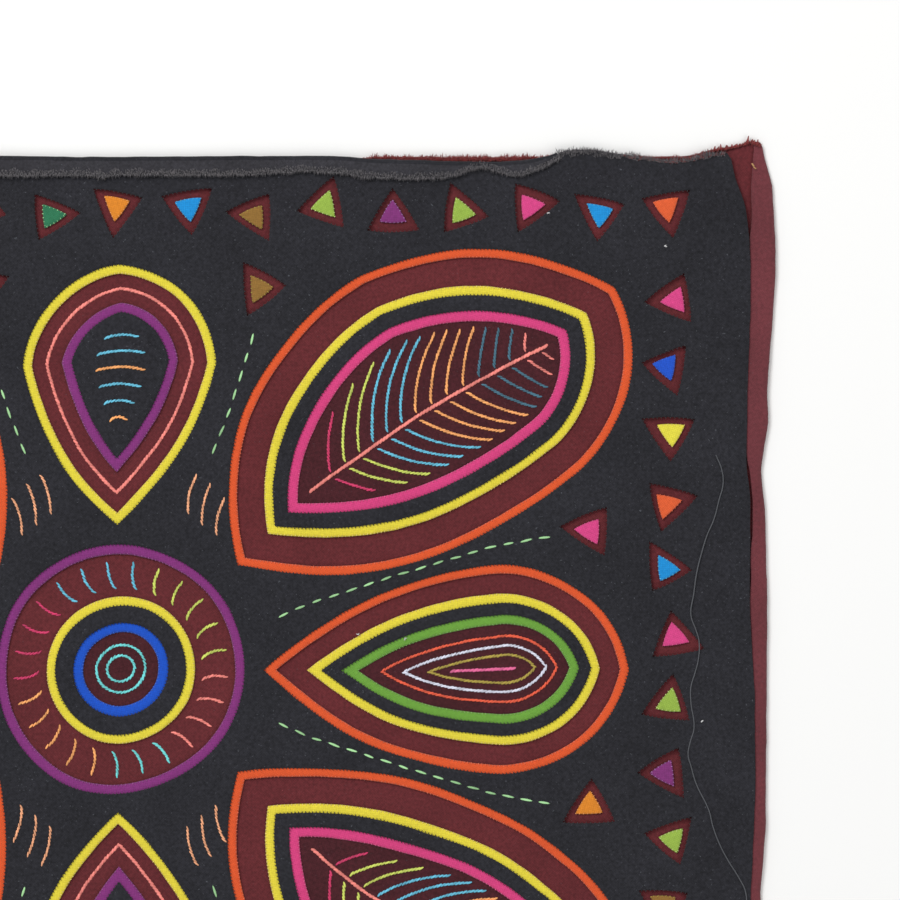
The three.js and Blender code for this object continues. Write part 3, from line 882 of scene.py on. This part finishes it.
def filled(bm, corners, section, grid=None, spacing=SPACING):
    """Lofts a section and fills the middle that it leaves open."""
    loops = loft(bm, corners, section, spacing)
    fill_flat(bm, outline_edges(bm, loops[-1]))
    if grid:
        cut_grid(bm, grid)


black_islands = []
for name, corners in MOTIFS.items():
    island = bmesh.new()
    if MOTIF_KIND[name] == "crown":
        section = [(CROWN_ISLAND + step, height) for step, height in ISLAND_ROLL]
        filled(island, corners, section + CROWN_RINGS, FINE_GRID)
    else:
        outer, inner = ISLANDS[MOTIF_KIND[name]]
        section = [(outer + step, height) for step, height in ISLAND_ROLL]
        section.append(((outer + inner) / 2, ISLAND_MIDDLE))
        section.extend((inner - step, height) for step, height in reversed(ISLAND_ROLL))
        loft(island, corners, section)
    hand = 40 + len(black_islands)
    piece = finish_cloth(island, f"{name}_black_island", COTTON["black"], "black_cotton", hand)
    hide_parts(f"{name}_black")
    black_islands.append(piece)
print("black islands:", len(black_islands))

# %% Dark patches in the middles
PATCH_EDGE = {"corner": 22.7, "side": 18.6, "rosette": 28.2}
PATCH_RIM = [(-0.6, 1.05), (0.4, 1.15), (3.0, 1.2), (6.0, 1.2), (9.0, 1.2)]
PATCH_THICKNESS = 0.3

dark_patches = []
for name, corners in MOTIFS.items():
    if MOTIF_KIND[name] in PATCH_EDGE:
        patch = bmesh.new()
        section = [(PATCH_EDGE[MOTIF_KIND[name]] + step, height) for step, height in PATCH_RIM]
        filled(patch, corners, section, FINE_GRID)
        hand = 60 + len(dark_patches)
        cloth = (COTTON["dark_maroon"], "maroon_cotton")
        dark_patches.append(finish_cloth(patch, f"{name}_middle", *cloth, hand, PATCH_THICKNESS))
print("dark patches:", len(dark_patches))

# %% [markdown]
# A small triangle of a bright colour is sewn on the maroon in each of the small windows. The colours follow
# each other by rule, and the triangles of one colour are joined to one piece of the model.

# %% Small triangles
TRIANGLE_ROLL = [(0.0, 1.05), (0.0, 1.5), (0.3, 1.85), (0.9, 1.98)]
TRIANGLE_COLOURS = [
    "lime", "rose", "sky", "coral", "lemon", "royal", "rose", "emerald", "amber", "sky", "ochre", "lime",
    "plum",
]
TRIANGLE_SLOTS = {
    "lime": "green", "emerald": "green", "rose": "pink", "sky": "blue", "royal": "blue", "coral": "orange",
    "amber": "orange", "lemon": "yellow", "ochre": "yellow", "plum": "purple",
}
PATCH_SHARE, PATCH_BULGE = 0.52, 0.3
PATCH_SPACING = 1.6
PATCH_SHIFT = 0.5

patches = {}
for index, (x, y) in enumerate(triangle_middles):
    shifted = (x + PATCH_SHIFT * math.sin(3.1 * index), y + PATCH_SHIFT * math.cos(4.7 * index))
    colour = TRIANGLE_COLOURS[index % len(TRIANGLE_COLOURS)]
    patches.setdefault(colour, []).append(triangle(shifted, index, PATCH_SHARE, PATCH_BULGE))
small_triangles = []
for colour, outlines in patches.items():
    cloth = bmesh.new()
    for corners in outlines:
        filled(cloth, corners, TRIANGLE_ROLL, spacing=PATCH_SPACING)
    hand = 70 + len(small_triangles)
    slot_name = f"{TRIANGLE_SLOTS[colour]}_cotton"
    piece = finish_cloth(cloth, f"{colour}_triangles", COTTON[colour], slot_name, hand, PATCH_THICKNESS)
    small_triangles.append(piece)
print("colours of triangles:", len(small_triangles))

# %% [markdown]
# Everything is sewn by hand. One tiny stitch is a grain of thread, rounded in the middle and sunk into the
# cloth at both ends, so a small sphere makes it. It is copied along the edges and lines, and all the
# stitches of one colour are joined to one piece.

# %% Stitch and its copies
QUARTER = math.pi / 2


def grain(segments, rings):
    """One stitch of unit size that lies along X."""
    bm = bmesh.new()
    bmesh.ops.create_uvsphere(bm, u_segments=segments, v_segments=rings, radius=0.5)
    bmesh.ops.rotate(bm, matrix=Matrix.Rotation(QUARTER, 3, "Y"), verts=bm.verts)
    return bm


def strew(name, template, rows, colour):
    """Joins many copies of a template. A row is a place, a turn, a dip, and a length, width and height."""
    shape = np.array([vertex.co for vertex in template.verts])
    table = np.array(rows, dtype=float)
    points = shape[None, :, :] * table[:, None, 5:8]
    across, along, up = (points[:, :, 1], points[:, :, 0], points[:, :, 2])
    dip = table[:, 4][:, None]
    turn = table[:, 3][:, None]
    forward = along * np.cos(dip) + up * np.sin(dip)
    up = up * np.cos(dip) - along * np.sin(dip)
    middles = np.array([settled(x, y, z, 0) for x, y, z in table[:, :3].tolist()])
    x = forward * np.cos(turn) - across * np.sin(turn)
    y = forward * np.sin(turn) + across * np.cos(turn)
    placed = (np.stack([x, y, up], axis=2) + middles[:, None, :]) * MM
    starts = np.arange(len(table))[:, None] * len(shape)
    faces = []
    for face in template.faces:
        faces.extend((starts + [vertex.index for vertex in face.verts]).tolist())
    mesh = bpy.data.meshes.new(name)
    mesh.from_pydata(placed.reshape(-1, 3).tolist(), [], faces)
    shades = np.random.default_rng(len(table)).uniform(-1.0, 1.0, len(table))
    mesh.attributes.new("shade", "FLOAT", "POINT").data.foreach_set("value", np.repeat(shades, len(shape)))
    return add_object(mesh, name, THREADS[colour])


def evenly(line, pitch, closed=False):
    """Places at an even distance along a line, each with the direction of the line."""
    points = np.array([tuple(place) for place in line])
    if closed:
        points = np.vstack([points, points[:1]])
    legs = np.diff(points, axis=0)
    travel = np.concatenate([[0.0], np.cumsum(np.hypot(legs[:, 0], legs[:, 1]))])
    count = max(1, round(travel[-1] / pitch))
    marks = (np.arange(count) + 0.5) * travel[-1] / count
    leg = np.searchsorted(travel, marks, side="right") - 1
    x = np.interp(marks, travel, points[:, 0])
    y = np.interp(marks, travel, points[:, 1])
    return list(zip(x.tolist(), y.tolist(), np.arctan2(legs[leg, 1], legs[leg, 0]).tolist()))


def outline_line(corners, inset, spacing=SPACING):
    """The points of an outline at this inset."""
    return [vertex.co.to_2d() for vertex in cut_pattern(corners, inset, spacing).vertices]


small_grain = grain(4, 3)
round_grain = grain(5, 4)
print("faces of a stitch:", len(small_grain.faces), "and", len(round_grain.faces))

# %% Stitches along the edges
EDGE_PITCH = 1.15
STITCH_LENGTH, STITCH_WIDTH = 0.72, 0.36
STITCH_SLANT = 0.3
BLACK_STITCH = {"height": 2.75, "dip": 0.5}
LINE_STITCH = {"height": 1.95, "dip": 0.7, "length": 0.9}
WINDOW_STITCH = {"height": 2.68, "dip": 0.6, "pitch": 1.4}
TRIANGLE_STITCH = {"height": 1.6, "dip": 0.75, "length": 0.85, "pitch": 1.3}
HAND = random.Random(11)
edge_rows = {}


def whip(colour, line, inward, height, dip, length=STITCH_LENGTH, pitch=EDGE_PITCH):
    """Slanted stitches across an edge, which dip towards the lower cloth."""
    rows = edge_rows.setdefault(colour, [])
    for x, y, along in evenly(line, pitch, closed=True):
        turn = along + inward * QUARTER + HAND.uniform(-0.25, 0.25) + STITCH_SLANT * inward
        size = HAND.uniform(0.8, 1.15)
        z = height + HAND.uniform(-0.03, 0.03)
        rows.append((x, y, z, turn, dip, length * size, STITCH_WIDTH, STITCH_WIDTH))


for name, corners in MOTIFS.items():
    kind = MOTIF_KIND[name]
    edges = [(0.12, 1)]
    if kind == "crown":
        edges.append((CROWN_ISLAND - 0.12, -1))
    else:
        edges += [(ISLANDS[kind][0] - 0.12, -1), (ISLANDS[kind][1] + 0.12, 1)]
    for inset, inward in edges:
        whip("black", outline_line(corners, inset), inward, **BLACK_STITCH)
    for colour, (tucked, turned) in LINES[kind].items():
        toward = 1 if turned > tucked else -1
        whip(colour, outline_line(corners, turned - 0.22 * toward), toward, **LINE_STITCH)

TICKS = {
    "lime": "pale_lime", "rose": "pink", "sky": "sky", "coral": "orange", "lemon": "yellow", "royal": "blue",
    "emerald": "pale_green", "amber": "apricot", "ochre": "olive", "plum": "mauve",
}
for corners in TRIANGLES:
    whip("black", outline_line(corners, 0.1, TRIANGLE_SPACING), 1, **WINDOW_STITCH)
for colour, outlines in patches.items():
    for corners in outlines:
        whip(TICKS[colour], outline_line(corners, 0.1, PATCH_SPACING), -1, **TRIANGLE_STITCH)

edge_pieces = []
for colour, rows in edge_rows.items():
    edge_pieces.append(strew(f"{colour}_edge_stitches", small_grain, rows, colour))
print("edge stitches:", sum(len(rows) for rows in edge_rows.values()))

# %% [markdown]
# The embroidery is stem stitch: long slanted stitches that overlap by half, like the strands of a rope. The
# lines are set out by rule: a rib with veins in the corner petals, rings in the side petals, and rungs in
# the rosette.

# %% Embroidery lines
STEM_LENGTH, STEM_WIDTH, STEM_HEIGHT = 2.1, 0.78, 0.55
STEM_PITCH = 1.2
STEM_SLANT = 0.36
GROUND_LEVEL, PATCH_LEVEL, BLACK_LEVEL = 0.72, 1.32, 3.2
VEIN_GAP = 2.6
VEIN_STEPS = 80
stem_rows = {}


def stem(colour, line, level, closed=False, width=STEM_WIDTH):
    """A line of stem stitch."""
    rows = stem_rows.setdefault(colour, [])
    for x, y, along in evenly(line, STEM_PITCH, closed):
        size = HAND.uniform(0.9, 1.1)
        x += HAND.uniform(-0.06, 0.06)
        turn = along + STEM_SLANT + HAND.uniform(-0.08, 0.08)
        rows.append((x, y, level, turn, 0, STEM_LENGTH * size, width * size, STEM_HEIGHT))


def vein(edge, start, heading, bend):
    """A curved line of short steps, from here to just before the edge."""
    line = [start]
    while min((line[-1] - place).length for place in edge) > VEIN_GAP and len(line) < VEIN_STEPS:
        heading = Matrix.Rotation(bend, 2) @ heading
        line.append(line[-1] + heading)
    return line


def bowed(start, end, bow, count=24):
    """A bowed line between two places."""
    side = Vector((start.y - end.y, end.x - start.x)).normalized()
    shares = [k / count for k in range(count + 1)]
    return [start.lerp(end, share) + side * (4 * bow * share * (1 - share)) for share in shares]


def drifted(line):
    """The line moved by the drift of the hand-cut design."""
    return [drift(place.x, place.y) for place in line]


def way(angle, reach=1.0):
    """The place this far out from the middle, in this direction."""
    return Vector((math.cos(angle), math.sin(angle))) * reach


# %% Embroidery of the corner petals
RIB_INSET, RIB_BOW, RIB_WIDTH = 26.5, 3.0, 1.15
VEIN_PITCH, VEIN_ANGLE, VEIN_START, VEIN_BEND = 5.4, 1.12, 1.7, 0.022
VEIN_LEAST = 4
VEIN_COLOURS = ["magenta"] + ["lime"] * 2 + ["sky"] * 3 + ["apricot"] * 4 + ["slate"] * 3 + ["salmon"] * 3

for name, corners in MOTIFS.items():
    if MOTIF_KIND[name] == "corner":
        across, up = MOTIF_SIGNS[name]
        edge = outline_line(corners, PATCH_EDGE["corner"])
        joints = inset_sides(corners, RIB_INSET)[1]
        rib = bowed(joints[0], joints[2], RIB_BOW * across * up)
        stem("salmon", drifted(rib), PATCH_LEVEL, width=RIB_WIDTH)
        for k, (x, y, along) in enumerate(evenly(rib, VEIN_PITCH)[1:]):
            for side in BOTH_WAYS:
                out = way(along + side * VEIN_ANGLE)
                line = vein(edge, Vector((x, y)) + out * VEIN_START, out, side * -VEIN_BEND)
                if len(line) > VEIN_LEAST:
                    stem(VEIN_COLOURS[k % len(VEIN_COLOURS)], drifted(line), PATCH_LEVEL)
print("stitches in the corner petals:", sum(len(rows) for rows in stem_rows.values()))

# %% Embroidery of the other petals and the rosette
SIDE_RINGS = [(22.4, "red_orange"), (25.6, "lavender"), (28.6, "olive")]
SIDE_MIDDLE = (106, 126)
CROWN_RING, CROWN_WIDTH = 7.6, 1.05
CROWN_RUNGS = (2.5, 4.6, 6.4, 7.6, 7.4, 5.4)
CROWN_START, CROWN_STEP = 80, 5.2
RUNG_COLOURS = ["lime"] * 5 + ["sky"] * 4 + ["magenta"] * 4 + ["apricot"] * 5 + ["aqua"] * 3 + ["salmon"] * 4
RUNG_INNER, RUNG_OUTER, RUNG_LEAN, RUNG_BOW = 26.2, 34.4, 0.05, 0.8
ROSETTE_RINGS = (32.4, 35.8)

for name, corners in MOTIFS.items():
    across, up = MOTIF_SIGNS[name]
    if MOTIF_KIND[name] == "side":
        for inset, colour in SIDE_RINGS:
            stem(colour, outline_line(corners, inset), PATCH_LEVEL, closed=True)
        middle = [Vector((across * x, 0)) for x in SIDE_MIDDLE]
        stem("pink", drifted(middle), PATCH_LEVEL, width=1.0)
    if MOTIF_KIND[name] == "crown":
        stem("salmon", outline_line(corners, CROWN_RING), GROUND_LEVEL, closed=True, width=CROWN_WIDTH)
        for row, reach in enumerate(CROWN_RUNGS):
            height = up * (CROWN_START + CROWN_STEP * row)
            rung = bowed(Vector((-reach, height)), Vector((reach, height)), 1.0 * up)
            stem("sky" if row % 3 else "apricot", drifted(rung), BLACK_LEVEL)

for k, colour in enumerate(RUNG_COLOURS):
    angle = 2 * math.pi * (k + 0.5) / len(RUNG_COLOURS)
    rung = bowed(way(angle, RUNG_INNER), way(angle + RUNG_LEAN, RUNG_OUTER), RUNG_BOW)
    stem(colour, drifted(rung), GROUND_LEVEL)
for inset in ROSETTE_RINGS:
    stem("aqua", outline_line(ROSETTE, inset), PATCH_LEVEL, closed=True)
print("colours of embroidery:", len(stem_rows))

# %% Short lines and running stitches on the black cloth
BASE_LINES = [((26.6, 46.6), (29.4, 59.6)), ((22.0, 50.2), (25.0, 62.4)), ((31.2, 43.4), (34.0, 55.0))]
BASE_BOW, BASE_WIDTH = 0.9, 0.66
RUNNING_LINES = [
    [(50, 16.5), (60, 21), (91, 31), (120, 39.6), (139, 43)],
    [(29.5, 68), (35, 82), (40, 97), (43.5, 109)],
]
DASH, DASH_WIDTH, DASH_HEIGHT = 3.9, 0.85, 0.5
DASH_PITCH = 5.8

running_rows = []
for across in BOTH_WAYS:
    for up in BOTH_WAYS:
        for ends in BASE_LINES:
            first, last = [Vector((x * across, y * up)) for x, y in ends]
            stem("peach", bowed(first, last, BASE_BOW * across * up), BLACK_LEVEL, width=BASE_WIDTH)
        for route in RUNNING_LINES:
            placed = [(x * across, y * up) for x, y in route]
            for x, y, along in evenly(placed, DASH_PITCH):
                turn = along + HAND.uniform(-0.1, 0.1)
                length = DASH * HAND.uniform(0.85, 1.1)
                running_rows.append((x, y, BLACK_LEVEL, turn, 0, length, DASH_WIDTH, DASH_HEIGHT))

embroidery = []
for colour, rows in stem_rows.items():
    embroidery.append(strew(f"{colour}_embroidery", round_grain, rows, colour))
embroidery.append(strew("running_stitches", round_grain, running_rows, "pale_green"))
print("embroidery stitches:", sum(len(rows) for rows in stem_rows.values()), "and", len(running_rows))

# %% [markdown]
# The upper edges are raw. The cut threads of the cloth stand out of them as a short fringe, grey on the
# worn edge of the flap and red above it, where the ground cloth looks out. Each fibre is a thin cone that
# lies on the cloth.

# %% Frayed edges
UP, DOWN = QUARTER, -QUARTER
RAW_LINE = [
    (139, 164.8), (143, 166.3), (151, 166.6), (161, 165.0), (174, 163.1), (181, 163.1), (188, 164.8),
    (194, 165.3),
]
RED_LINE = [(76, 163.1), (82, 164.1), (103, 164.0), (120, 164.0), (134, 164.2), (139, 164.2), (142, 164.4)]
CORNER_LINE = [(158, 164.2), (182, 164.0), (190, 166.2), (197.4, 167.6), (203.2, 169.2)]
# Each band has its line, heading and level, the length of its fibres, their number to a millimetre, how far
# they spread, how thick they are, and the width of the band.
GREY_BANDS = [
    (FLAP_EDGE[:-3], DOWN, 4.85, 1.0, 1.0, 0.35, 0.3, 1.9),
    (FLAP_EDGE[-4:-1], DOWN, 4.6, 1.0, 1.0, 0.5, 0.3, 1.4),
    (FLAP_EDGE[-2:], DOWN, 4.2, 1.0, 1.0, 0.6, 0.3, 1.2),
    (RAW_LINE[:4], UP, 3.3, 1.0, 1.0, 0.5, 0.3, 1.8),
    (RAW_LINE[3:], UP, 3.2, 1.25, 0.7, 0.5, 0.3, 0.9),
]
RED_BANDS = [
    (RED_LINE, UP, 2.4, 1.1, 16, 0.8, 0.5, 1.2),
    (RAW_LINE[3:], UP, 3.1, 1.0, 6, 0.7, 0.35, 0.8),
    (CORNER_LINE, UP, 1.4, 0.9, 9, 0.7, 0.5, 0.5),
    (CORNER_LINE[2:], UP - 0.1, 1.2, 1.8, 0.8, 0.2, 1.4, 0.4),
    ([(202.6, 168.8), (205.4, 168.4)], UP - 0.2, 1.7, 1.8, 1.6, 0.2, 1.3, 0.8),
    ([(202.6, 168.6), (205.4, 168.2)], UP - 0.2, 2.2, 1.0, 10, 0.6, 0.5, 1.0),
]
WORN, WORN_LAYER = 0.7, 2.0
FRAY = random.Random(23)


def fibre():
    """One loose fibre of unit length, which starts at the origin and lies along X."""
    bm = bmesh.new()
    bmesh.ops.create_cone(bm, cap_ends=True, segments=3, radius1=0.5, radius2=0.12, depth=1.0)
    bmesh.ops.translate(bm, vec=(0, 0, 0.5), verts=bm.verts)
    bmesh.ops.rotate(bm, matrix=Matrix.Rotation(QUARTER, 3, "Y"), verts=bm.verts)
    return bm


def fringe(bands, lengthened=1.0, multiplied=1):
    """Fibres that stand out of each band along an edge, in about one direction."""
    rows = []
    for line, heading, level, length, per_mm, spread, width, band in bands:
        for x, y, along in evenly(line, 1 / (per_mm * multiplied)):
            worn = 1 + WORN * noise.noise(Vector((x * 0.4, y * 0.1, WORN_LAYER)))
            turn = heading + FRAY.gauss(0, spread)
            reach = length * lengthened * FRAY.uniform(0.45, 1.25) * worn
            z = level + FRAY.uniform(-0.12, 0.14)
            dip = FRAY.uniform(-0.06, 0.14)
            back = band * worn * FRAY.random() ** 1.5
            x -= back * math.cos(heading)
            y -= back * math.sin(heading)
            rows.append((x + FRAY.uniform(-0.2, 0.2), y, z, turn, dip, reach, width, width))
    return rows


pale_rows = fringe(GREY_BANDS, 1.0, 10)
grey_rows = fringe(GREY_BANDS, 1.2, 8)
red_rows = fringe(RED_BANDS)
cone = fibre()
frayed = [
    strew("pale_fringe", cone, pale_rows, "fray_pale"),
    strew("grey_fringe", cone, grey_rows, "fray_grey"),
    strew("red_fringe", cone, red_rows, "fray_red"),
]
print("fibres:", len(pale_rows) + len(grey_rows), "grey and", len(red_rows), "red")

# %% Lint
LINT_PLACES = [
    (175.1, 135.8), (137.4, 146.3), (186.6, -16.2), (76.6, 11.6), (91.6, 10.0), (-48, 139.0), (-132.5, 56.0),
    (-186.0, -71.0), (64.0, -139.0), (150.5, -88.0), (-96.0, -9.5),
]
LINT_LEVEL = 3.35
LINT_BITS = 3
LINT_SIZE = (1.1, 0.32, 0.3)
SPECK = [(203.0, 161.7, 2.7, 2.2, 0, 1.7, 0.7, 0.35), (203.6, 160.8, 2.7, 2.5, 0, 1.4, 0.5, 0.35)]

lint_rows = []
for x, y in LINT_PLACES:
    for bit in range(LINT_BITS):
        turn = FRAY.uniform(0, math.pi)
        place = (x + FRAY.uniform(-0.3, 0.3), y + FRAY.uniform(-0.3, 0.3), LINT_LEVEL)
        lint_rows.append((*place, turn, 0, *LINT_SIZE))
frayed.append(strew("lint", small_grain, lint_rows, "lint"))
frayed.append(strew("tan_speck", small_grain, SPECK, "tan"))
print("bits of lint:", len(lint_rows))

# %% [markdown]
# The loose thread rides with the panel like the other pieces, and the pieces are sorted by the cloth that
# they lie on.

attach(loose_thread, "root")
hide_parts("loose_thread")
pale_fringe, grey_fringe, red_fringe, lint, tan_speck = frayed
on_black = [pale_fringe, grey_fringe, lint, embroidery[-1]]
on_black += [piece for piece in edge_pieces if piece.name.startswith("black")]
on_ground = coloured_lines + dark_patches + small_triangles + embroidery[:-1] + [red_fringe, tan_speck]
on_ground += [piece for piece in edge_pieces if not piece.name.startswith("black")]
print("pieces on the cloths:", len(on_ground) + len(on_black))
